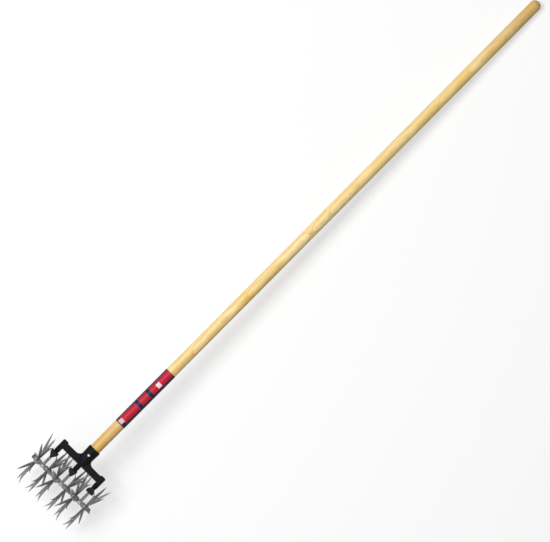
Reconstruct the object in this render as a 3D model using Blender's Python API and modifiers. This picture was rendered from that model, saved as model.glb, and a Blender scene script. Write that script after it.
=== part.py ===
# A long-handled rolling cultivator: an ash pole, a cast yoke and a reel of six star wheels.
#
# The tool is modelled upright in its own frame: the axle's centre is the origin, +X runs
# along the axle, +Z runs up the pole and -Y is the front, where the clamp knobs are.
# The "tool" empty then lays it on its back, on the star points and the pole's far end.

import math

import bmesh
import bpy
from mathutils import Matrix

# Driving sizes, in metres
TOTAL_LENGTH = 1.765
POLE_RADIUS = 0.0145
POLE_FOOT_STEP = 0.0009
POLE_DOME_LENGTH = 0.013
POLE_SHOULDER = 0.004

SOCKET_WALL = 0.0024
SOCKET_FLARE = 0.0009
SOCKET_HEIGHT = 0.038
SOCKET_FLOOR_RISE = 0.0010
SOCKET_FILLET = 0.014
SOCKET_LIP = 0.0012
SOCKET_BAND = 0.0050
BELLY_RADIUS = 0.0125
BELLY_END_RADIUS = 0.0060

BAR_SETBACK = 0.050
BAR_BOTTOM = 0.0682
BAR_TALL = 0.018
BAR_DEEP = 0.014
BAR_END = 0.0070
BAR_EDGE = 0.0014
LUG_RISE = 0.0032
LUG_CHAMFER = 0.0022

LEG_PITCH = 0.0655
LEG_WIDTH = 0.0140
LEG_FOOT_WIDTH = 0.0118
LEG_DEEP = 0.0130
LEG_FOOT = 0.0485
LEG_SHOULDER = 0.0655
LEG_SHOULDER_RUN = 0.0045
LEG_EDGE = 0.0013
WINDOW_WIDTH = 0.0048
WINDOW_HEIGHT = 0.0052
WINDOW_STATION = 0.0695

HANGER_RADIUS = 0.0035
HANGER_TOP = 0.0835
HANGER_CHAMFER = 0.0008
EYE_RADIUS = 0.0068
EYE_WIDTH = 0.0080
EYE_CHAMFER = 0.0008

KNOB_STATION = 0.0585
KNOB_CORNER_RADIUS = 0.0123
KNOB_ROUNDING = 0.0028
KNOB_THICK = 0.0088
KNOB_EDGE = 0.0012
KNOB_CAP_RADIUS = 0.0042
KNOB_CAP_RISE = 0.0012
CLAMP_SCREW_RADIUS = 0.0024
KNOB_TURNS = {"left": -90.0, "middle": -75.0, "right": 90.0}

AXLE_RADIUS = 0.0030
AXLE_PROUD = 0.0012
NUT_ACROSS = 0.0100
NUT_THICK = 0.0052
WASHER_RADIUS = 0.0062
WASHER_THICK = 0.0015
SPACER_RADIUS = 0.0047
SPACER_LENGTH = 0.0080

STAR_RADIUS = 0.0762
STAR_OFFSET = 0.0185
HUB_RADIUS = 0.0070
HUB_END_RADIUS = 0.0052
HUB_TAPER = 0.0030
POINTS_PER_STAR = 10
STAR_PHASE = 16.0
POINT_HALF_WIDTH = 0.0042
POINT_HALF_THICK = 0.0035
POINT_ROOT = 0.0045
POINT_ROOT_FULLNESS = 0.62
POINT_WIDEST = 0.40
POINT_TIP_FULLNESS = 0.10
POINT_TAPER_POWER = 1.25
POINT_RINGS = 7
POINT_SIDES = 6
OUT_LEAN = 0.0195
OUT_LEAN_POWER = 1.15
IN_LEAN = 0.0090
IN_LEAN_POWER = 4.6
SLIGHT_LEAN = 0.0040

SCREW_RADIUS = 0.0022
SCREW_HEAD_RADIUS = 0.0035
SCREW_HEAD_RISE = 0.0019
SCREW_LENGTH = 0.0220
SCREW_HEIGHT = 0.0170
SPOT_FACE_RADIUS = 0.0041

LABEL_LENGTH = 0.180
LABEL_START = 0.2122
LABEL_THICK = 0.0004

GAP = 0.0003
RUN_GAP = 0.0003
CUT_OVER = 0.002
POLE_STEPS = 40
BARREL_STEPS = 32
SMALL_STEPS = 20
HOLE_STEPS = 12
FILLET_STEPS = 6
DOME_STEPS = 6
CORNER_STEPS = 4
MERGE = 0.00001
SHARP_ANGLE = math.radians(35)
BEVEL_ANGLE = math.radians(40)

# Sizes that follow from them
POLE_FOOT_RADIUS = POLE_RADIUS - POLE_FOOT_STEP
SOCKET_WAIST_RADIUS = POLE_FOOT_RADIUS + GAP + SOCKET_WALL
SOCKET_RADIUS = SOCKET_WAIST_RADIUS + SOCKET_FLARE
BAR_TOP = BAR_BOTTOM + BAR_TALL
BAR_MIDDLE = BAR_BOTTOM + BAR_TALL / 2
LEG_TILT = math.atan2(BAR_SETBACK, BAR_MIDDLE)
LEG_TOP = math.hypot(BAR_SETBACK, BAR_MIDDLE)
BAR_HALF = LEG_PITCH + BAR_END
SOCKET_RIM = BAR_TOP + SOCKET_HEIGHT
SOCKET_FLOOR = BAR_TOP + SOCKET_FLOOR_RISE
TIP_DROP = STAR_RADIUS * math.cos(math.radians(STAR_PHASE))
POLE_TOP = TOTAL_LENGTH - TIP_DROP
HUB_INNER = EYE_WIDTH / 2 + WASHER_THICK + 2 * GAP
HUB_OUTER = (LEG_PITCH - SPACER_LENGTH) / 2 - GAP
NUT_INNER = LEG_PITCH + HUB_OUTER + GAP
AXLE_HALF = NUT_INNER + NUT_THICK + AXLE_PROUD
AXLE_BORE = AXLE_RADIUS + RUN_GAP
# Hubs and eyes are made with this smaller hole first, and bored out last
CORE_HOLE = AXLE_BORE / 2
SCREW_STATION = BAR_TOP + SCREW_HEIGHT
SEAT_DEPTH = SOCKET_WAIST_RADIUS - GAP
SIDES = {"left": -1, "middle": 0, "right": 1}
# Round cuts from the front turn by half a facet, so none of their edges meets an edge they cut
FRONT_CUT = (math.pi / 2, math.pi / SMALL_STEPS, 0)

BLACK_CASTING = (0.018, 0.020, 0.024, 1.0)
BLACK_PLASTIC = (0.010, 0.011, 0.012, 1.0)
ASH = (0.70, 0.47, 0.20, 1.0)
ZINC = (0.36, 0.37, 0.36, 1.0)
BRIGHT_STEEL = (0.62, 0.63, 0.63, 1.0)
DARK_STEEL = (0.16, 0.16, 0.16, 1.0)
LABEL_RED = (0.55, 0.03, 0.06, 1.0)


def clear_scene():
    for thing in list(bpy.data.objects):
        bpy.data.objects.remove(thing)
    for group in list(bpy.data.collections):
        bpy.data.collections.remove(group)


def new_collection(name, hidden=False):
    group = bpy.data.collections.new(name)
    group.hide_render = hidden
    bpy.context.scene.collection.children.link(group)
    return group


def finish(name, colour, roughness, metallic):
    material = bpy.data.materials.new(name)
    material.use_nodes = True
    shader = material.node_tree.nodes["Principled BSDF"]
    shader.inputs["Base Color"].default_value = colour
    shader.inputs["Roughness"].default_value = roughness
    shader.inputs["Metallic"].default_value = metallic
    return material


def put(thing, parent, location=(0, 0, 0), turn=(0, 0, 0)):
    thing.parent = parent
    thing.location = location
    thing.rotation_euler = turn
    return thing


def new_object(name, mesh, parent, location=(0, 0, 0), turn=(0, 0, 0)):
    thing = bpy.data.objects.new(name, mesh)
    PARTS.objects.link(thing)
    return put(thing, parent, location, turn)


def new_empty(name, parent, location=(0, 0, 0), turn=(0, 0, 0)):
    return new_object(name, None, parent, location, turn)


def as_cutter(thing):
    """Moves an object out of the parts, to be used by Booleans only."""
    for group in thing.users_collection:
        group.objects.unlink(thing)
    CUTTERS.objects.link(thing)
    thing.hide_render = True
    thing.display_type = "WIRE"
    return thing


def boolean(thing, other, operation):
    modifier = thing.modifiers.new(f"{operation.lower()}_{other.name}", "BOOLEAN")
    modifier.operation = operation
    modifier.solver = "EXACT"
    modifier.object = other
    as_cutter(other)


def bevel(thing, width, segments=2):
    modifier = thing.modifiers.new("edge", "BEVEL")
    modifier.width = width
    modifier.segments = segments
    modifier.limit_method = "ANGLE"
    modifier.angle_limit = BEVEL_ANGLE


def dress(thing, material):
    """Gives the finished piece its material and smooth round faces."""
    thing.data.materials.clear()
    thing.data.materials.append(material)
    thing.data.shade_smooth()
    thing.data.set_sharp_from_angle(angle=SHARP_ANGLE)
    if "edge" in thing.modifiers:
        thing.modifiers.new("shading", "WEIGHTED_NORMAL")
    return thing


def arc(centre, radius, start, end, steps):
    """Points on an arc, with angles in degrees."""
    points = []
    for step in range(steps + 1):
        angle = math.radians(start + (end - start) * step / steps)
        across = centre[0] + radius * math.cos(angle)
        up = centre[1] + radius * math.sin(angle)
        points.append((across, up))
    return points


def turned(name, profile, steps, parent, closed, location=(0, 0, 0), turn=(0, 0, 0)):
    """A profile of (radius, height) points, run down the outer side, turned round local Z."""
    mesh = bpy.data.meshes.new(name)
    count = len(profile)
    edges = [(index, index + 1) for index in range(count - 1)]
    if closed:
        edges.append((count - 1, 0))
    mesh.from_pydata([(radius, 0, height) for radius, height in profile], edges, [])
    thing = new_object(name, mesh, parent, location, turn)
    screw = thing.modifiers.new("turn", "SCREW")
    screw.axis = "Z"
    screw.steps = steps
    screw.render_steps = steps
    screw.use_merge_vertices = True
    screw.merge_threshold = MERGE
    screw.use_smooth_shade = True
    return thing


def ring_profile(outer, inner, low, high, chamfer=0.0):
    """A closed ring section with its outer corners chamfered."""
    if not chamfer:
        return [(outer, high), (outer, low), (inner, low), (inner, high)]
    return [
        (outer - chamfer, high),
        (outer, high - chamfer),
        (outer, low + chamfer),
        (outer - chamfer, low),
        (inner, low),
        (inner, high),
    ]


def rod(name, radius, low, high, parent, location=(0, 0, 0), turn=(0, 0, 0), steps=SMALL_STEPS):
    """A plain cylinder along local Z."""
    profile = [(0, high), (radius, high), (radius, low), (0, low)]
    return turned(name, profile, steps, parent, False, location, turn)


def plate(name, outline, thick, parent, location=(0, 0, 0), turn=(0, 0, 0)):
    """A flat outline in local XY with half its thickness to each side, made a mesh."""
    curve = bpy.data.curves.new(name, "CURVE")
    curve.dimensions = "2D"
    curve.fill_mode = "BOTH"
    curve.extrude = thick / 2
    spline = curve.splines.new("POLY")
    spline.points.add(len(outline) - 1)
    for point, (across, up) in zip(spline.points, outline):
        point.co = (across, up, 0, 1)
    spline.use_cyclic_u = True
    guide = bpy.data.objects.new(name + "_outline", curve)
    PARTS.objects.link(guide)
    bpy.context.view_layer.update()
    graph = bpy.context.evaluated_depsgraph_get()
    mesh = bpy.data.meshes.new_from_object(guide.evaluated_get(graph))
    bpy.data.objects.remove(guide)
    shape = bmesh.new()
    shape.from_mesh(mesh)
    bmesh.ops.remove_doubles(shape, verts=shape.verts, dist=MERGE)
    bmesh.ops.recalc_face_normals(shape, faces=shape.faces)
    shape.to_mesh(mesh)
    shape.free()
    mesh.name = name
    return new_object(name, mesh, parent, location, turn)


def block(name, width, deep, tall, parent, location):
    """A plain box, for cuts."""
    mesh = bpy.data.meshes.new(name)
    shape = bmesh.new()
    bmesh.ops.create_cube(shape, size=1)
    bmesh.ops.scale(shape, vec=(width, deep, tall), verts=shape.verts)
    shape.to_mesh(mesh)
    shape.free()
    return new_object(name, mesh, parent, location)


def mirrored(half):
    """The half outline at +X followed by its mirror image, back to the start."""
    return half + [(-across, up) for across, up in reversed(half)]


# Pole


def pole_profile():
    top = POLE_TOP
    dome = [
        (POLE_RADIUS * math.sin(angle), top - POLE_DOME_LENGTH * (1 - math.cos(angle)))
        for angle in (math.pi / 2 * step / DOME_STEPS for step in range(DOME_STEPS + 1))
    ]
    rim = SOCKET_RIM + GAP
    foot = SOCKET_FLOOR + GAP
    return dome + [
        (POLE_RADIUS, rim + POLE_SHOULDER),
        (POLE_FOOT_RADIUS, rim),
        (POLE_FOOT_RADIUS, foot + POLE_SHOULDER),
        (POLE_FOOT_RADIUS - POLE_SHOULDER / 2, foot),
        (0, foot),
    ]


def make_pole():
    seat = (0, -BAR_SETBACK, 0)
    pole = turned("handle", pole_profile(), POLE_STEPS, TOOL, False, seat)
    hole_end = SEAT_DEPTH - SCREW_LENGTH - GAP
    hole = rod("screw_hole_in_pole", SCREW_RADIUS + GAP, hole_end, SOCKET_RADIUS, TOOL,
               (0, -BAR_SETBACK, SCREW_STATION), FRONT_CUT, HOLE_STEPS)
    boolean(pole, hole, "DIFFERENCE")
    dress(pole, finish("ash_pole", ASH, 0.45, 0.0))

    inner = POLE_RADIUS + GAP
    label_ring = ring_profile(inner + LABEL_THICK, inner, LABEL_START, LABEL_START + LABEL_LENGTH)
    label = turned("handle_label", label_ring, POLE_STEPS, TOOL, True, seat)
    dress(label, finish("label_print", LABEL_RED, 0.35, 0.0))


# Screw through the socket's front wall into the pole


def make_handle_screw():
    head = [
        (SCREW_HEAD_RADIUS * math.sin(angle), SCREW_HEAD_RISE * math.cos(angle))
        for angle in (math.pi / 2 * step / DOME_STEPS for step in range(DOME_STEPS + 1))
    ]
    profile = head + [(SCREW_RADIUS, 0), (SCREW_RADIUS, -SCREW_LENGTH + SCREW_RADIUS)]
    profile.append((0, -SCREW_LENGTH))
    seat = (0, -BAR_SETBACK - SEAT_DEPTH - GAP, SCREW_STATION)
    screw = turned("handle_screw", profile, SMALL_STEPS, TOOL, False, seat, (math.pi / 2, 0, 0))
    dress(screw, finish("screw_plating", BRIGHT_STEEL, 0.25, 1.0))


# Yoke: crossbar, socket and three swept-back legs in one casting


def bar_outline():
    lug_inner = LEG_PITCH - BAR_END
    lug_top = BAR_TOP + LUG_RISE
    fillet_centre = (SOCKET_WAIST_RADIUS + SOCKET_FILLET - BAR_EDGE, BAR_TOP + SOCKET_FILLET)
    half = arc(fillet_centre, SOCKET_FILLET, 180, 270, FILLET_STEPS)
    half += [
        (lug_inner - LUG_CHAMFER, BAR_TOP),
        (lug_inner, lug_top),
        (BAR_HALF - LUG_CHAMFER, lug_top),
        (BAR_HALF, lug_top - LUG_CHAMFER),
        (BAR_HALF, BAR_BOTTOM),
    ]
    return mirrored(half)


def socket_profile():
    shoulder = BAR_TOP + SOCKET_FILLET
    return [
        (0, SOCKET_RIM),
        (SOCKET_RADIUS - SOCKET_LIP, SOCKET_RIM),
        (SOCKET_RADIUS, SOCKET_RIM - SOCKET_LIP),
        (SOCKET_RADIUS, SOCKET_RIM - SOCKET_BAND),
        (SOCKET_WAIST_RADIUS, shoulder),
        (SOCKET_WAIST_RADIUS, BAR_TOP),
        (BELLY_RADIUS, BAR_MIDDLE),
        (BELLY_END_RADIUS, BAR_BOTTOM + SOCKET_LIP),
        (0, BAR_BOTTOM + SOCKET_LIP),
    ]


def leg_outline():
    wide = LEG_WIDTH / 2
    foot = LEG_FOOT_WIDTH / 2
    half = [
        (wide, LEG_TOP),
        (wide, LEG_SHOULDER + LEG_SHOULDER_RUN),
        (foot, LEG_SHOULDER),
        (foot, LEG_FOOT + LEG_EDGE),
        (foot - LEG_EDGE, LEG_FOOT),
    ]
    return mirrored(half)


def make_yoke():
    flat = (math.pi / 2, 0, 0)
    yoke = plate("yoke", bar_outline(), BAR_DEEP, TOOL, (0, -BAR_SETBACK, 0), flat)
    bevel(yoke, BAR_EDGE)
    seat = (0, -BAR_SETBACK, 0)
    boolean(yoke, turned("barrel", socket_profile(), BARREL_STEPS, TOOL, False, seat), "UNION")
    for side, leg_frame in LEG_FRAMES.items():
        leg = plate(f"leg_{side}", leg_outline(), LEG_DEEP, leg_frame, turn=flat)
        bevel(leg, LEG_EDGE)
        boolean(yoke, leg, "UNION")
    bore = rod("socket_bore", POLE_FOOT_RADIUS + GAP, SOCKET_FLOOR, SOCKET_RIM + CUT_OVER,
               TOOL, seat, steps=POLE_STEPS)
    boolean(yoke, bore, "DIFFERENCE")
    for side, leg_frame in LEG_FRAMES.items():
        shank_bore = rod(f"shank_bore_{side}", HANGER_RADIUS + GAP, LEG_FOOT - CUT_OVER,
                         HANGER_TOP + GAP, leg_frame)
        boolean(yoke, shank_bore, "DIFFERENCE")
        clamp_hole = rod(f"clamp_hole_{side}", CLAMP_SCREW_RADIUS + GAP, 0,
                         LEG_DEEP / 2 + CUT_OVER, leg_frame, (0, 0, KNOB_STATION), FRONT_CUT,
                         HOLE_STEPS)
        boolean(yoke, clamp_hole, "DIFFERENCE")
        reach = LEG_DEEP / 2 + CUT_OVER
        window = block(f"window_{side}", WINDOW_WIDTH, reach, WINDOW_HEIGHT, leg_frame,
                       (0, -reach / 2, WINDOW_STATION))
        boolean(yoke, window, "DIFFERENCE")
    front = (0, -BAR_SETBACK, SCREW_STATION)
    screw_hole = rod("screw_hole_in_socket", SCREW_RADIUS + GAP, POLE_FOOT_RADIUS / 2,
                     SOCKET_RADIUS, TOOL, front, FRONT_CUT, HOLE_STEPS)
    boolean(yoke, screw_hole, "DIFFERENCE")
    spot_face = rod("spot_face", SPOT_FACE_RADIUS, SEAT_DEPTH, SOCKET_RADIUS + CUT_OVER,
                    TOOL, front, FRONT_CUT)
    boolean(yoke, spot_face, "DIFFERENCE")
    dress(yoke, finish("black_casting", BLACK_CASTING, 0.55, 0.0))


# Hangers: a round shank up into the leg and an eye round the axle


def make_hanger(side, leg_frame, material):
    top = HANGER_TOP
    profile = [
        (0, top),
        (HANGER_RADIUS - HANGER_CHAMFER, top),
        (HANGER_RADIUS, top - HANGER_CHAMFER),
        (HANGER_RADIUS, 0),
        (0, 0),
    ]
    hanger = turned(f"hanger_{side}", profile, SMALL_STEPS, leg_frame, False)
    across = (0, math.pi / 2, 0)
    eye_profile = ring_profile(EYE_RADIUS, CORE_HOLE, -EYE_WIDTH / 2, EYE_WIDTH / 2,
                               EYE_CHAMFER)
    eye = turned(f"eye_{side}", eye_profile, SMALL_STEPS, leg_frame, True, turn=across)
    boolean(hanger, eye, "UNION")
    bore = rod(f"eye_bore_{side}", AXLE_BORE, -EYE_WIDTH, EYE_WIDTH, leg_frame, turn=across)
    boolean(hanger, bore, "DIFFERENCE")
    dress(hanger, material)


# Clamp knobs: a three-cornered grip on a screw that bears on the hanger's shank


def knob_outline():
    """A triangle with rounded corners, one corner at +X."""
    centre = KNOB_CORNER_RADIUS - KNOB_ROUNDING
    outline = []
    for corner in range(3):
        angle = 120 * corner
        middle = (centre * math.cos(math.radians(angle)), centre * math.sin(math.radians(angle)))
        outline += arc(middle, KNOB_ROUNDING, angle - 60, angle + 60, CORNER_STEPS)
    return outline


def make_clamp_knob(side, leg_frame, material):
    """Local +Z points out to the front, with the origin on the turning axis."""
    seat = (0, 0, KNOB_STATION)
    turn = (math.pi / 2, 0, 0)
    axis = new_empty(f"clamp_axis_{side}", leg_frame, seat, turn)
    turned_by = (0, 0, math.radians(KNOB_TURNS[side]))
    back = LEG_DEEP / 2 + GAP
    knob = plate(f"clamp_knob_{side}", knob_outline(), KNOB_THICK, axis, turn=turned_by)
    for vertex in knob.data.vertices:
        vertex.co.z += back + KNOB_THICK / 2
    bevel(knob, KNOB_EDGE)
    cap_top = back + KNOB_THICK + KNOB_CAP_RISE
    cap_profile = [
        (0, cap_top),
        (KNOB_CAP_RADIUS - KNOB_CAP_RISE, cap_top),
        (KNOB_CAP_RADIUS, cap_top - KNOB_CAP_RISE),
        (KNOB_CAP_RADIUS, back + KNOB_EDGE),
        (CLAMP_SCREW_RADIUS, back + KNOB_EDGE),
        (CLAMP_SCREW_RADIUS, HANGER_RADIUS + GAP),
        (0, HANGER_RADIUS + GAP),
    ]
    screw = turned(f"clamp_screw_{side}", cap_profile, SMALL_STEPS, axis, False)
    boolean(knob, screw, "UNION")
    dress(knob, material)


# Reel: the axle with its stars, washers, spacers and end nuts


def point_fullness(along):
    """A point's width as a share of its widest: swelling from the root, then down to the tip."""
    if along < POINT_WIDEST:
        rise = math.sin(math.pi / 2 * along / POINT_WIDEST)
        return POINT_ROOT_FULLNESS + (1 - POINT_ROOT_FULLNESS) * rise
    fall = math.cos(math.pi / 2 * ((along - POINT_WIDEST) / (1 - POINT_WIDEST)) ** POINT_TAPER_POWER)
    return POINT_TIP_FULLNESS + (1 - POINT_TIP_FULLNESS) * fall


def point_lean(kind, along):
    if kind == "out":
        return OUT_LEAN * along ** OUT_LEAN_POWER
    if kind == "in":
        return -IN_LEAN * along ** IN_LEAN_POWER
    return SLIGHT_LEAN * along ** OUT_LEAN_POWER


def point_kind(index):
    """Bent out and in by turns, with one nearly straight pair across the hub from each other."""
    half = POINTS_PER_STAR // 2
    if index % half == half - 1:
        return "slight"
    return "out" if index % 2 == 0 else "in"


def add_point(shape, index):
    """Lofts one pointed blade of a star, from inside the hub out to its tip."""
    kind = point_kind(index)
    angle = math.radians(STAR_PHASE + 360 / POINTS_PER_STAR * index)
    outward = (math.cos(angle), math.sin(angle))
    sideways = (-math.sin(angle), math.cos(angle))
    rings = []
    for ring in range(POINT_RINGS):
        along = ring / (POINT_RINGS - 1)
        radius = POINT_ROOT + (STAR_RADIUS - POINT_ROOT) * along
        lean = point_lean(kind, along)
        full = point_fullness(along)
        corners = []
        for side in range(POINT_SIDES):
            around = 2 * math.pi * (side + 0.5) / POINT_SIDES
            wide = POINT_HALF_WIDTH * full * math.cos(around)
            thick = POINT_HALF_THICK * full * math.sin(around)
            x = outward[0] * radius + sideways[0] * wide
            y = outward[1] * radius + sideways[1] * wide
            corners.append(shape.verts.new((x, y, lean + thick)))
        rings.append(corners)
    for low, high in zip(rings, rings[1:]):
        for side in range(POINT_SIDES):
            after = (side + 1) % POINT_SIDES
            shape.faces.new((low[side], low[after], high[after], high[side]))
    shape.faces.new(list(reversed(rings[0])))
    shape.faces.new(rings[-1])


def make_star_points(index):
    mesh = bpy.data.meshes.new(f"star_point_{index}")
    shape = bmesh.new()
    add_point(shape, index)
    bmesh.ops.recalc_face_normals(shape, faces=shape.faces)
    shape.to_mesh(mesh)
    shape.free()
    return new_object(mesh.name, mesh, None)


def make_star_mesh():
    """One casting: a hub with ten points, its +Z side facing away from the leg."""
    low = HUB_INNER - STAR_OFFSET
    high = HUB_OUTER - STAR_OFFSET
    hub_profile = [
        (HUB_END_RADIUS, high),
        (HUB_RADIUS, high - HUB_TAPER),
        (HUB_RADIUS, low + HUB_TAPER),
        (HUB_END_RADIUS, low),
        (CORE_HOLE, low),
        (CORE_HOLE, high),
    ]
    star = turned("star_pattern", hub_profile, SMALL_STEPS, None, True)
    for index in range(POINTS_PER_STAR):
        boolean(star, make_star_points(index), "UNION")
    bore = rod("star_bore", AXLE_BORE, low - CUT_OVER, high + CUT_OVER, None)
    boolean(star, bore, "DIFFERENCE")
    bpy.context.view_layer.update()
    graph = bpy.context.evaluated_depsgraph_get()
    mesh = bpy.data.meshes.new_from_object(star.evaluated_get(graph))
    mesh.name = "star"
    bpy.data.objects.remove(star)
    return mesh


def make_stars():
    pattern = make_star_mesh()
    zinc = finish("zinc_casting", ZINC, 0.5, 0.8)
    number = 0
    for place in SIDES.values():
        for away in (-1, 1):
            number += 1
            turn = (0, -math.pi / 2, 0 if away < 0 else math.pi)
            seat = (LEG_PITCH * place + STAR_OFFSET * away, 0, 0)
            star = new_object(f"star_{number}", pattern.copy(), REEL, seat, turn)
            dress(star, zinc)


def make_axle():
    across = (0, math.pi / 2, 0)
    chamfer = HANGER_CHAMFER
    profile = [
        (0, AXLE_HALF),
        (AXLE_RADIUS - chamfer, AXLE_HALF),
        (AXLE_RADIUS, AXLE_HALF - chamfer),
        (AXLE_RADIUS, -AXLE_HALF + chamfer),
        (AXLE_RADIUS - chamfer, -AXLE_HALF),
        (0, -AXLE_HALF),
    ]
    axle = turned("axle", profile, SMALL_STEPS, REEL, False, turn=across)
    dress(axle, finish("axle_steel", BRIGHT_STEEL, 0.35, 1.0))

    steel = finish("washer_steel", BRIGHT_STEEL, 0.4, 1.0)
    washer_low = EYE_WIDTH / 2 + GAP
    washer_ring = ring_profile(WASHER_RADIUS, AXLE_BORE, washer_low, washer_low + WASHER_THICK)
    number = 0
    for place in SIDES.values():
        for away in (-1, 1):
            number += 1
            seat = (LEG_PITCH * place, 0, 0)
            turn = (0, math.pi / 2 * away, 0)
            washer = turned(f"washer_{number}", washer_ring, SMALL_STEPS, REEL, True, seat, turn)
            dress(washer, steel)

    sleeve = finish("spacer_steel", ZINC, 0.45, 0.8)
    spacer_ring = ring_profile(SPACER_RADIUS, AXLE_BORE, -SPACER_LENGTH / 2, SPACER_LENGTH / 2)
    for side in ("left", "right"):
        seat = (LEG_PITCH / 2 * SIDES[side], 0, 0)
        spacer = turned(f"spacer_{side}", spacer_ring, SMALL_STEPS, REEL, True, seat, across)
        dress(spacer, sleeve)

    dark = finish("nut_steel", DARK_STEEL, 0.5, 0.6)
    corner = NUT_ACROSS / 2 / math.cos(math.pi / 6)
    hexagon = arc((0, 0), corner, 0, 300, 5)
    for side in ("left", "right"):
        middle = (NUT_INNER + NUT_THICK / 2) * SIDES[side]
        nut = plate(f"end_nut_{side}", hexagon, NUT_THICK, REEL, (middle, 0, 0), across)
        bevel(nut, HANGER_CHAMFER, 1)
        bore = rod(f"nut_bore_{side}", AXLE_BORE, -NUT_THICK, NUT_THICK, REEL, (middle, 0, 0), across)
        boolean(nut, bore, "DIFFERENCE")
        dress(nut, dark)


def lay_down():
    """Lays the tool on its back: the lowest star points and the pole's far end touch the floor."""
    spacing = 360 / POINTS_PER_STAR
    under = round((90 - STAR_PHASE) / spacing) * spacing + STAR_PHASE
    off_centre = math.radians(abs(under - 90))
    end_along = POLE_TOP - POLE_DOME_LENGTH
    end_back = POLE_RADIUS - BAR_SETBACK
    reach = math.hypot(end_along, end_back)
    lean_back = math.atan2(end_back, end_along)
    slope = math.asin(STAR_RADIUS / reach) - lean_back
    # The point that lies nearest to straight down, off by its own angle less the slope
    lowest = STAR_RADIUS * math.cos(off_centre - slope)
    slope = math.asin(lowest / reach) - lean_back
    pole_end_x = POLE_TOP * math.cos(slope) + BAR_SETBACK * math.sin(slope)
    tip_x = STAR_RADIUS * math.cos(math.radians(STAR_PHASE) - slope)
    middle = (pole_end_x - tip_x) / 2
    TOOL.location = (-middle, 0, lowest)
    back = (-math.sin(slope), 0, -math.cos(slope))
    up_pole = (math.cos(slope), 0, -math.sin(slope))
    TOOL.rotation_euler = Matrix(((0, -1, 0), back, up_pole)).transposed().to_euler()


clear_scene()
PARTS = new_collection("rolling_cultivator")
CUTTERS = new_collection("cutters", hidden=True)
TOOL = new_empty("tool", None)
REEL = new_empty("reel", TOOL)
LEG_FRAMES = {
    side: new_empty(f"leg_frame_{side}", TOOL, (LEG_PITCH * place, 0, 0), (LEG_TILT, 0, 0))
    for side, place in SIDES.items()
}

make_pole()
make_handle_screw()
make_yoke()
ROD_STEEL = finish("hanger_zinc", BRIGHT_STEEL, 0.3, 1.0)
KNOB_BLACK = finish("knob_black", BLACK_PLASTIC, 0.5, 0.0)
for SIDE, FRAME in LEG_FRAMES.items():
    make_hanger(SIDE, FRAME, ROD_STEEL)
    make_clamp_knob(SIDE, FRAME, KNOB_BLACK)
make_stars()
make_axle()
lay_down()
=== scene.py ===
# Looks for a long-handled rolling cultivator that lies on its back on a pale floor.
#
# The tool's own axes are used throughout: X along the axle, Z up the pole from the axle
# and -Y out of the front, where the clamp knobs and the handle screw are.

import bpy
from mathutils import Matrix, Vector

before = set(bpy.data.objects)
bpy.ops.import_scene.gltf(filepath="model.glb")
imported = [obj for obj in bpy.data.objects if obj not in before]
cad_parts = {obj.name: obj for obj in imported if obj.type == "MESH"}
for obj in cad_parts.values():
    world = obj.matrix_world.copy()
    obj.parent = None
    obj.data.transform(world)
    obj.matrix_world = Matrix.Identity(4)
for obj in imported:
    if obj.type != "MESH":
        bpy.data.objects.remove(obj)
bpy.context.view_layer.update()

# Where the tool lies, in metres
AXLE_AT = (-0.808426, 0.0, 0.076162)
POLE_WAY = (0.997789, 0.0, -0.066468)
ACROSS_WAY = (0.0, -1.0, 0.0)
POLE_BEFORE_AXLE = 0.050
POLE_RADIUS = 0.0145
LABEL_START = 0.2122
LABEL_LENGTH = 0.180

# How the picture is taken. Its middle lies PICTURE_CENTRE metres across and up from the axle,
# and a metre of pole runs POLE_UP_THE_IMAGE metres to the right and up in it
IMAGE_SIZE = (550, 542)
MM_PER_PIXEL = 2.488
PICTURE_CENTRE = (0.0054, 0.7542)
POLE_UP_THE_IMAGE = (0.70434, 0.70991)
CAMERA_DISTANCE = 9.0
CAMERA_SEES_TO = 100
SENSOR_WIDTH = 36.0

# The floor: half its width in metres, the share of its brightness that is light from the
# lamps, in which shadows show, and how pale it is for light that bounces off it
FLOOR_REACH = 30.0
FLOOR_SHARE = 0.38
FLOOR_GREY = 0.60

# The light: each lamp's name, place in metres, watts and width, and the fill from all round
LAMPS = (
    ("key lamp", (-0.3, 2.1, 4.7), 226, 2.2),
    ("end lamp", (-3.6, 0.8, 3.0), 40, 1.6),
)
FILL_STRENGTH = 0.12

SIDES = ("left", "middle", "right")
STARS = 6


def tool_matrix():
    """From the tool's own axes to the row frame."""
    across = Vector(ACROSS_WAY)
    up_pole = Vector(POLE_WAY).normalized()
    back = up_pole.cross(across)
    turn = Matrix((across, back, up_pole)).transposed().to_4x4()
    return Matrix.Translation(AXLE_AT) @ turn


TOOL = tool_matrix()
INTO_TOOL = TOOL.inverted()


# Node helpers


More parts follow.
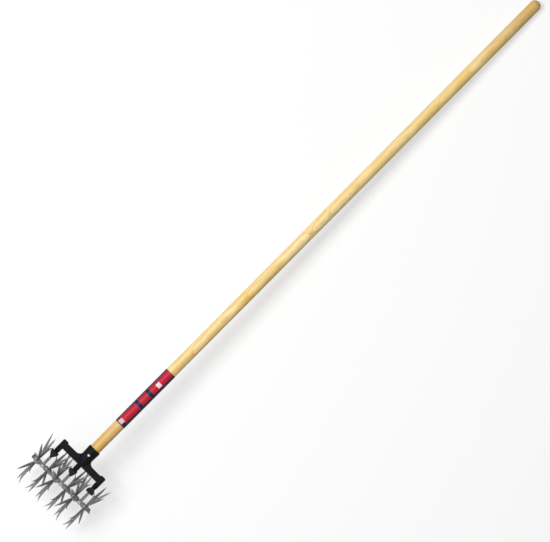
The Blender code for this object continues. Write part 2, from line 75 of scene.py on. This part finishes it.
class Sheet:
    """A node tree being laid out, for a material or for a shared effect."""

    def __init__(self, tree):
        self.tree = tree

    def node(self, kind, **settings):
        made = self.tree.nodes.new(kind)
        for key, value in settings.items():
            setattr(made, key, value)
        return made

    def feed(self, socket, source):
        """Puts a value, a colour or another node's output into a socket."""
        if isinstance(source, bpy.types.NodeSocket):
            self.tree.links.new(source, socket)
        else:
            socket.default_value = source

    def tool_place(self, from_pole=False):
        """A point's place in the tool's own axes, from the axle or the pole's centre line."""
        move = INTO_TOOL
        if from_pole:
            move = Matrix.Translation((0, POLE_BEFORE_AXLE, 0)) @ INTO_TOOL
        mapping = self.node("ShaderNodeMapping", vector_type="POINT")
        self.feed(mapping.inputs["Vector"], self.node("ShaderNodeTexCoord").outputs["Object"])
        mapping.inputs["Location"].default_value = move.to_translation()
        mapping.inputs["Rotation"].default_value = move.to_euler()
        return mapping.outputs[0]

    def stretch(self, vector, scale):
        """Turns a place in metres into a place in a pattern, by its features per metre."""
        mapping = self.node("ShaderNodeMapping")
        self.feed(mapping.inputs["Vector"], vector)
        self.feed(mapping.inputs["Scale"], scale)
        return mapping.outputs[0]

    def noise(self, vector, scale=1.0, detail=3.0, roughness=0.55, output="Fac"):
        noise = self.node("ShaderNodeTexNoise")
        self.feed(noise.inputs["Vector"], vector)
        self.feed(noise.inputs["Scale"], scale)
        self.feed(noise.inputs["Detail"], detail)
        self.feed(noise.inputs["Roughness"], roughness)
        return noise.outputs[output]

    def reckon(self, operation, first, second=0.0):
        """One step of arithmetic."""
        step = self.node("ShaderNodeMath", operation=operation)
        self.feed(step.inputs[0], first)
        self.feed(step.inputs[1], second)
        return step.outputs[0]

    def spread(self, value, low, high, to_low=0.0, to_high=1.0):
        """Maps low..high to to_low..to_high and stops there."""
        step = self.node("ShaderNodeMapRange")
        self.feed(step.inputs["Value"], value)
        self.feed(step.inputs["From Min"], low)
        self.feed(step.inputs["From Max"], high)
        self.feed(step.inputs["To Min"], to_low)
        self.feed(step.inputs["To Max"], to_high)
        return step.outputs[0]

    def blend(self, share, first, second):
        """From the first colour, where the share is 0, to the second."""
        mix = self.node("ShaderNodeMix", data_type="RGBA")
        share_in, first_in, second_in = (mix.inputs[place] for place in (0, 6, 7))
        self.feed(share_in, share)
        self.feed(first_in, first)
        self.feed(second_in, second)
        colour_out = mix.outputs[2]
        return colour_out

    def rays_that_see_the_room(self):
        """1 for rays from the camera, in reflections and through clear pieces, 0 for the rest."""
        path = self.node("ShaderNodeLightPath").outputs
        seen = self.reckon("MAXIMUM", path["Is Camera Ray"], path["Is Glossy Ray"])
        return self.reckon("MAXIMUM", seen, path["Is Transmission Ray"])

    def shared(self, effect, **values):
        """Places a shared effect, with its own values."""
        box = self.node("ShaderNodeGroup")
        box.node_tree = effect
        for key, value in values.items():
            self.feed(box.inputs[key.replace("_", " ").capitalize()], value)
        return box.outputs


def new_effect(name, inputs, output):
    """A shared effect with named inputs (name, value) and one named output."""
    tree = bpy.data.node_groups.new(name, "ShaderNodeTree")
    for label, value in inputs:
        socket = tree.interface.new_socket(label, in_out="INPUT", socket_type="NodeSocketFloat")
        socket.default_value = value
    tree.interface.new_socket(output, in_out="OUTPUT", socket_type="NodeSocketFloat")
    sheet = Sheet(tree)
    given = sheet.node("NodeGroupInput").outputs
    result = sheet.node("NodeGroupOutput").inputs[output]
    return sheet, given, result


def new_finish(name):
    """A new material, its sheet and the inputs of its shader."""
    material = bpy.data.materials.new(name)
    material.use_nodes = True
    shader = material.node_tree.nodes["Principled BSDF"].inputs
    return material, Sheet(material.node_tree), shader


def roughen(sheet, shader, height, depth, strength=1.0):
    """Fine relief on a surface, its depth in metres."""
    bump = sheet.node("ShaderNodeBump")
    sheet.feed(bump.inputs["Height"], height)
    bump.inputs["Distance"].default_value = depth
    bump.inputs["Strength"].default_value = strength
    sheet.feed(shader["Normal"], bump.outputs[0])


# Shared effects


def casting_skin():
    """The fine pimples of a cast or moulded surface."""
    sheet, given, result = new_effect(
        "Casting skin", [("Grains per metre", 900.0), ("Lumps per metre", 120.0)], "Height")
    lump_height = 0.8
    place = sheet.tool_place()
    grains = sheet.noise(place, given["Grains per metre"])
    lumps = sheet.noise(place, given["Lumps per metre"], detail=2.0)
    sheet.feed(result, sheet.reckon("ADD", grains, sheet.reckon("MULTIPLY", lumps, lump_height)))
    return sheet.tree


def handling_marks():
    """Patches that use has rubbed or dusted, as a mask."""
    sheet, given, result = new_effect(
        "Handling marks", [("Patches per metre", 40.0), ("Share", 0.5)], "Mask")
    none_above, full_share_drop, soft_edge = 0.86, 0.4, 0.16
    patches = sheet.noise(
        sheet.tool_place(), given["Patches per metre"], detail=6.0, roughness=0.7)
    drop = sheet.reckon("MULTIPLY", given["Share"], full_share_drop)
    start = sheet.reckon("SUBTRACT", none_above, drop)
    sheet.feed(result, sheet.spread(patches, start, sheet.reckon("ADD", start, soft_edge)))
    return sheet.tree


CASTING_SKIN = casting_skin()
HANDLING_MARKS = handling_marks()


# Finishes


def ash_rings(sheet, place):
    """Broad and thin growth rings about a pith beside the pole, each 1 where it is darkest."""
    pith_at, pith_leans = (-0.020, -0.075, 0), (0.006, 0.004, 0)
    pith_wanders, wanders_per_metre = 0.045, (7, 7, 6.5)
    broad_scale, thin_scale = 46.0, 170.0
    rings_begin = 0.45

    slow = sheet.noise(
        sheet.stretch(place, wanders_per_metre), detail=2.0, roughness=0.5, output="Color")
    drift = sheet.node("ShaderNodeVectorMath", operation="SCALE")
    sheet.feed(drift.inputs[0], slow)
    drift.inputs["Scale"].default_value = pith_wanders
    bent = sheet.node("ShaderNodeVectorMath", operation="ADD")
    sheet.feed(bent.inputs[0], place)
    sheet.feed(bent.inputs[1], drift.outputs[0])
    from_pith = sheet.node("ShaderNodeMapping")
    sheet.feed(from_pith.inputs["Vector"], bent.outputs[0])
    from_pith.inputs["Location"].default_value = pith_at
    from_pith.inputs["Rotation"].default_value = pith_leans

    def growth_rings(scale, distortion):
        rings = sheet.node("ShaderNodeTexWave", wave_type="RINGS", rings_direction="Z",
                           wave_profile="SAW")
        sheet.feed(rings.inputs["Vector"], from_pith.outputs[0])
        rings.inputs["Scale"].default_value = scale
        rings.inputs["Distortion"].default_value = distortion
        rings.inputs["Detail"].default_value = 2.0
        return sheet.spread(rings.outputs["Fac"], rings_begin, 1.0)

    return growth_rings(broad_scale, 0.5), growth_rings(thin_scale, 1.2)


def ash_finish():
    """Ash: growth rings, fibres and fine pores, palest halfway up and darker at both ends."""
    yellow, cream = (0.90, 0.62, 0.18, 1), (0.99, 0.79, 0.39, 1)
    ring_brown, fibre_brown = (0.78, 0.47, 0.12, 1), (0.64, 0.42, 0.16, 1)
    pore_brown, end_brown = (0.34, 0.20, 0.08, 1), (0.50, 0.27, 0.07, 1)

    # How much of the next tone each feature lets in, from its least to its most
    fibre_tone, thin_ring_tone, end_tone = 0.22, 0.26, 0.48
    ring_tone_below, ring_tone_above = 0.72, 0.44
    pore_tone_in_pale_wood, pore_tone_in_rings = 0.12, 0.55

    # Features per metre, across the pole and along it
    fibres_per_metre, pores_per_metre = (1600, 1600, 26), (2300, 2300, 70)
    clouds_per_metre = (16, 16, 10)

    # Metres: up the pole from the axle, and then along it from the palest place
    palest_at, rings_weaken_from, rings_weaken_to = 0.92, 0.75, 1.05
    creamier_within, end_tone_from, end_tone_to = 0.55, 0.54, 0.72

    material, sheet, shader = new_finish("lacquered ash")
    place = sheet.tool_place(from_pole=True)
    split = sheet.node("ShaderNodeSeparateXYZ")
    sheet.feed(split.inputs[0], place)
    up_pole = split.outputs["Z"]
    from_palest = sheet.reckon("ABSOLUTE", sheet.reckon("SUBTRACT", up_pole, palest_at))

    ring, thin_ring = ash_rings(sheet, place)
    fibres = sheet.noise(sheet.stretch(place, fibres_per_metre))
    pore_spots = sheet.noise(sheet.stretch(place, pores_per_metre), detail=1.0)
    pores = sheet.spread(pore_spots, 0.63, 0.72)
    clouds = sheet.noise(sheet.stretch(place, clouds_per_metre), detail=2.0)

    creamier = sheet.spread(from_palest, 0.0, creamier_within, 0.12, 0.0)
    cloud_share = sheet.spread(sheet.reckon("ADD", clouds, creamier), 0.36, 0.64)
    pale = sheet.blend(cloud_share, yellow, cream)
    ring_tone = sheet.spread(
        up_pole, rings_weaken_from, rings_weaken_to, ring_tone_below, ring_tone_above)
    ring_share = sheet.reckon(
        "ADD", sheet.reckon("MULTIPLY", ring, ring_tone),
        sheet.reckon("MULTIPLY", thin_ring, thin_ring_tone))
    ringed = sheet.blend(ring_share, pale, ring_brown)
    fibre_share = sheet.spread(fibres, 0.35, 0.75, 0.0, fibre_tone)
    streaked = sheet.blend(fibre_share, ringed, fibre_brown)
    pore_tone = sheet.spread(ring, 0.0, 1.0, pore_tone_in_pale_wood, pore_tone_in_rings)
    porous = sheet.blend(sheet.reckon("MULTIPLY", pores, pore_tone), streaked, pore_brown)
    end_share = sheet.spread(from_palest, end_tone_from, end_tone_to, 0.0, end_tone)

    sheet.feed(shader["Base Color"], sheet.blend(end_share, porous, end_brown))
    sheet.feed(shader["Roughness"], sheet.spread(fibres, 0.2, 0.8, 0.36, 0.52))
    shader["Specular IOR Level"].default_value = 0.25
    shader["Coat Weight"].default_value = 0.08
    shader["Coat Roughness"].default_value = 0.25
    fibres_and_pores = sheet.reckon("SUBTRACT", fibres, pores)
    roughen(sheet, shader, fibres_and_pores, depth=0.00006, strength=0.7)
    return material


def label_finish():
    """A plain red sleeve: dark blue borders, bands and corner, and two pale blank panels."""
    red, deep_red = (0.56, 0.020, 0.041, 1), (0.48, 0.016, 0.033, 1)
    blue = (0.012, 0.020, 0.060, 1)
    white, grey = (0.86, 0.76, 0.75, 1), (0.66, 0.52, 0.56, 1)

    # Lengths on the sleeve in millimetres: up from its lower end, round from its front
    length, radius = LABEL_LENGTH * 1000, POLE_RADIUS * 1000
    soft_edge, end_border = 0.25, 1.2
    red_middle, red_half = -1.7, 10.9
    corner_up, corner_half_up, corner_round, corner_half_round = 7.6, 5.0, 8.0, 4.6
    band_half, panel_half_up, panel_half_round = 4.8, 5.8, 6.2
    bands_up = (length * 0.383, length * 0.594)
    panels = ((length * 0.050, -2.6, grey), (length * 0.763, 0.6, white))

    material, sheet, shader = new_finish("label print")
    place = sheet.tool_place(from_pole=True)
    split = sheet.node("ShaderNodeSeparateXYZ")
    sheet.feed(split.inputs[0], place)
    across, depth, height = split.outputs
    angle = sheet.reckon("ARCTAN2", across, sheet.reckon("MULTIPLY", depth, -1.0))
    around = sheet.reckon("MULTIPLY", angle, radius)
    up = sheet.reckon("MULTIPLY", sheet.reckon("SUBTRACT", height, LABEL_START), 1000.0)

    def within(value, middle, half):
        """1 within half a width of the middle, with a soft edge."""
        off = sheet.reckon("ABSOLUTE", sheet.reckon("SUBTRACT", value, middle))
        return sheet.spread(off, half, half + soft_edge, 1.0, 0.0)

    def patch(up_middle, up_half, round_middle, round_half):
        """1 inside a rectangle on the sleeve."""
        rows = within(up, up_middle, up_half)
        return sheet.reckon("MULTIPLY", rows, within(around, round_middle, round_half))

    uneven_ink = sheet.spread(sheet.noise(place, scale=60.0, detail=4.0), 0.3, 0.7)
    field = patch(length / 2, length / 2 - end_border, red_middle, red_half)
    colour = sheet.blend(field, blue, sheet.blend(uneven_ink, red, deep_red))
    corner = patch(corner_up, corner_half_up, corner_round, corner_half_round)
    colour = sheet.blend(corner, colour, blue)
    for band_up in bands_up:
        colour = sheet.blend(within(up, band_up, band_half), colour, blue)
    for panel_up, panel_round, paper in panels:
        panel = patch(panel_up, panel_half_up, panel_round, panel_half_round)
        colour = sheet.blend(panel, colour, paper)

    sheet.feed(shader["Base Color"], colour)
    rubbed = sheet.shared(HANDLING_MARKS, patches_per_metre=90.0, share=0.5)["Mask"]
    sheet.feed(shader["Roughness"], sheet.spread(rubbed, 0, 1, 0.38, 0.52))
    shader["Specular IOR Level"].default_value = 0.12
    waves = sheet.noise(place, scale=260.0, detail=2.0)
    roughen(sheet, shader, waves, depth=0.00005, strength=0.5)
    return material


def coated_finish(name, dark, rubbed, roughness, rubbed_share, grains, depth):
    """A dark coated or moulded surface, with lighter and smoother rubbed patches."""
    grains_across_a_lump = 6
    material, sheet, shader = new_finish(name)
    mask = sheet.shared(HANDLING_MARKS, patches_per_metre=70.0, share=rubbed_share)["Mask"]
    smooth, rough = roughness
    sheet.feed(shader["Base Color"], sheet.blend(mask, dark, rubbed))
    sheet.feed(shader["Roughness"], sheet.spread(mask, 0, 1, rough, smooth))
    shader["Specular IOR Level"].default_value = 0.07
    skin = sheet.shared(CASTING_SKIN, grains_per_metre=grains,
                        lumps_per_metre=grains / grains_across_a_lump)["Height"]
    roughen(sheet, shader, skin, depth)
    return material


def star_finish():
    """Grey galvanised casting with a faint spangle and dull patches."""
    dark_flake, light_flake = (0.150, 0.155, 0.150, 1), (0.260, 0.265, 0.260, 1)
    dull = (0.12, 0.125, 0.12, 1)
    material, sheet, shader = new_finish("galvanised casting")
    spangle = sheet.node("ShaderNodeTexVoronoi", feature="F1")
    sheet.feed(spangle.inputs["Vector"], sheet.tool_place())
    spangle.inputs["Scale"].default_value = 260.0
    flake = sheet.node("ShaderNodeSeparateColor")
    sheet.feed(flake.inputs[0], spangle.outputs["Color"])
    flake_tone, flake_gloss, _ = flake.outputs
    mask = sheet.shared(HANDLING_MARKS, patches_per_metre=55.0, share=0.9)["Mask"]
    bright = sheet.blend(flake_tone, dark_flake, light_flake)
    sheet.feed(shader["Base Color"], sheet.blend(mask, bright, dull))
    sheet.feed(shader["Metallic"], sheet.spread(mask, 0, 1, 0.45, 0.2))
    sheet.feed(shader["Roughness"], sheet.spread(flake_gloss, 0, 1, 0.36, 0.56))
    skin = sheet.shared(CASTING_SKIN, grains_per_metre=700.0, lumps_per_metre=140.0)["Height"]
    roughen(sheet, shader, skin, depth=0.00025)
    return material


def plated_finish(name, bright, dull, roughness):
    """Turned and plated steel: fine rings from the lathe, a few dull patches."""
    lathe_rings = (300, 300, 2600)
    material, sheet, shader = new_finish(name)
    mask = sheet.shared(HANDLING_MARKS, patches_per_metre=120.0, share=0.8)["Mask"]
    smooth, rough = roughness
    sheet.feed(shader["Base Color"], sheet.blend(mask, bright, dull))
    sheet.feed(shader["Roughness"], sheet.spread(mask, 0, 1, smooth, rough))
    shader["Metallic"].default_value = 1.0
    scratches = sheet.noise(sheet.stretch(sheet.tool_place(), lathe_rings), detail=2.0)
    roughen(sheet, shader, scratches, depth=0.00004, strength=0.5)
    return material


def dress(material, *nodes):
    """Gives CAD nodes their finish."""
    for node in nodes:
        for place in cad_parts[node].material_slots:
            place.material = material


# Camera, floor and light


def place_camera():
    """Looks straight at the tool's front, with the pole running to the upper right."""
    right_share, up_share = POLE_UP_THE_IMAGE
    across, back, up_pole = TOOL.to_3x3().col
    right = up_pole * right_share + across * up_share
    up = up_pole * up_share - across * right_share
    aim = TOOL @ Vector((PICTURE_CENTRE[0], -POLE_BEFORE_AXLE, PICTURE_CENTRE[1]))
    camera = bpy.data.cameras.new("camera")
    width = IMAGE_SIZE[0] * MM_PER_PIXEL / 1000
    camera.sensor_width = SENSOR_WIDTH
    camera.lens = SENSOR_WIDTH * CAMERA_DISTANCE / width
    camera.clip_end = CAMERA_SEES_TO
    viewer = bpy.data.objects.new("camera", camera)
    basis = Matrix((right, up, -back)).transposed().to_4x4()
    viewer.matrix_world = Matrix.Translation(aim - back * CAMERA_DISTANCE) @ basis
    bpy.context.scene.collection.objects.link(viewer)
    bpy.context.scene.camera = viewer


def soft_lamp(name, at, watts, size):
    """A square lamp that faces the middle of the tool."""
    lamp = bpy.data.lights.new(name, "AREA")
    lamp.energy = watts
    lamp.size = size
    holder = bpy.data.objects.new(name, lamp)
    holder.location = at
    holder.rotation_euler = (-Vector(at)).to_track_quat("-Z", "Y").to_euler()
    bpy.context.scene.collection.objects.link(holder)


def make_floor():
    """Pale paper that keeps the tool's shadow."""
    mesh = bpy.data.meshes.new("floor")
    corners = [(-1, -1), (1, -1), (1, 1), (-1, 1)]
    mesh.from_pydata([(FLOOR_REACH * x, FLOOR_REACH * y, 0) for x, y in corners],
                     [], [(0, 1, 2, 3)])
    floor = bpy.data.objects.new("floor", mesh)
    bpy.context.scene.collection.objects.link(floor)
    paper, sheet, shader = new_finish("pale floor")
    seen = sheet.rays_that_see_the_room()
    bounced, lit = (FLOOR_GREY,) * 3 + (1,), (FLOOR_SHARE,) * 3 + (1,)
    sheet.feed(shader["Base Color"], sheet.blend(seen, bounced, lit))
    shader["Emission Color"].default_value = (1, 1, 1, 1)
    sheet.feed(shader["Emission Strength"], sheet.reckon("MULTIPLY", seen, 1 - FLOOR_SHARE))
    shader["Roughness"].default_value = 0.9
    shader["Specular IOR Level"].default_value = 0.1
    mesh.materials.append(paper)


def light_the_room():
    """White to the camera and in reflections, a plain grey fill for everything else."""
    world = bpy.data.worlds.new("studio")
    world.use_nodes = True
    sheet = Sheet(world.node_tree)
    seen = sheet.rays_that_see_the_room()
    back = world.node_tree.nodes["Background"].inputs
    sheet.feed(back["Strength"], sheet.spread(seen, 0.0, 1.0, FILL_STRENGTH, 1.0))
    back["Color"].default_value = (1, 1, 1, 1)
    bpy.context.scene.world = world
    for name, at, watts, size in LAMPS:
        soft_lamp(name, at, watts, size)


# The dressed tool

place_camera()
make_floor()
light_the_room()
bpy.context.scene.view_settings.view_transform = "Standard"

dress(ash_finish(), "handle")
dress(label_finish(), "handle_label")
dress(star_finish(), *(f"star_{number + 1}" for number in range(STARS)))

powder_coat = coated_finish(
    "black powder coat", (0.0040, 0.0052, 0.0068, 1), (0.018, 0.021, 0.025, 1),
    roughness=(0.36, 0.52), rubbed_share=0.7, grains=1100.0, depth=0.0002)
dress(powder_coat, "yoke")
black_moulding = coated_finish(
    "black moulding", (0.018, 0.019, 0.020, 1), (0.055, 0.056, 0.058, 1),
    roughness=(0.40, 0.55), rubbed_share=0.5, grains=2200.0, depth=0.00008)
dress(black_moulding, *(f"clamp_knob_{side}" for side in SIDES))

# Each plated finish: its name, clean and dull tone, roughness of both, and its pieces
PLATED = (
    ("bright plate", (0.40, 0.41, 0.42, 1), (0.28, 0.28, 0.28, 1), (0.30, 0.44),
     ["handle_screw"]),
    ("worn plate", (0.26, 0.265, 0.27, 1), (0.16, 0.16, 0.16, 1), (0.38, 0.54),
     ["axle", *(f"hanger_{side}" for side in SIDES),
      *(f"washer_{number + 1}" for number in range(2 * len(SIDES)))]),
    ("dull plate", (0.36, 0.37, 0.36, 1), (0.24, 0.24, 0.23, 1), (0.34, 0.52),
     ["spacer_left", "spacer_right"]),
    ("blackened steel", (0.045, 0.046, 0.05, 1), (0.09, 0.085, 0.08, 1), (0.35, 0.50),
     ["end_nut_left", "end_nut_right"]),
)
for name, bright, dull, roughness, nodes in PLATED:
    dress(plated_finish(name, bright, dull, roughness), *nodes)
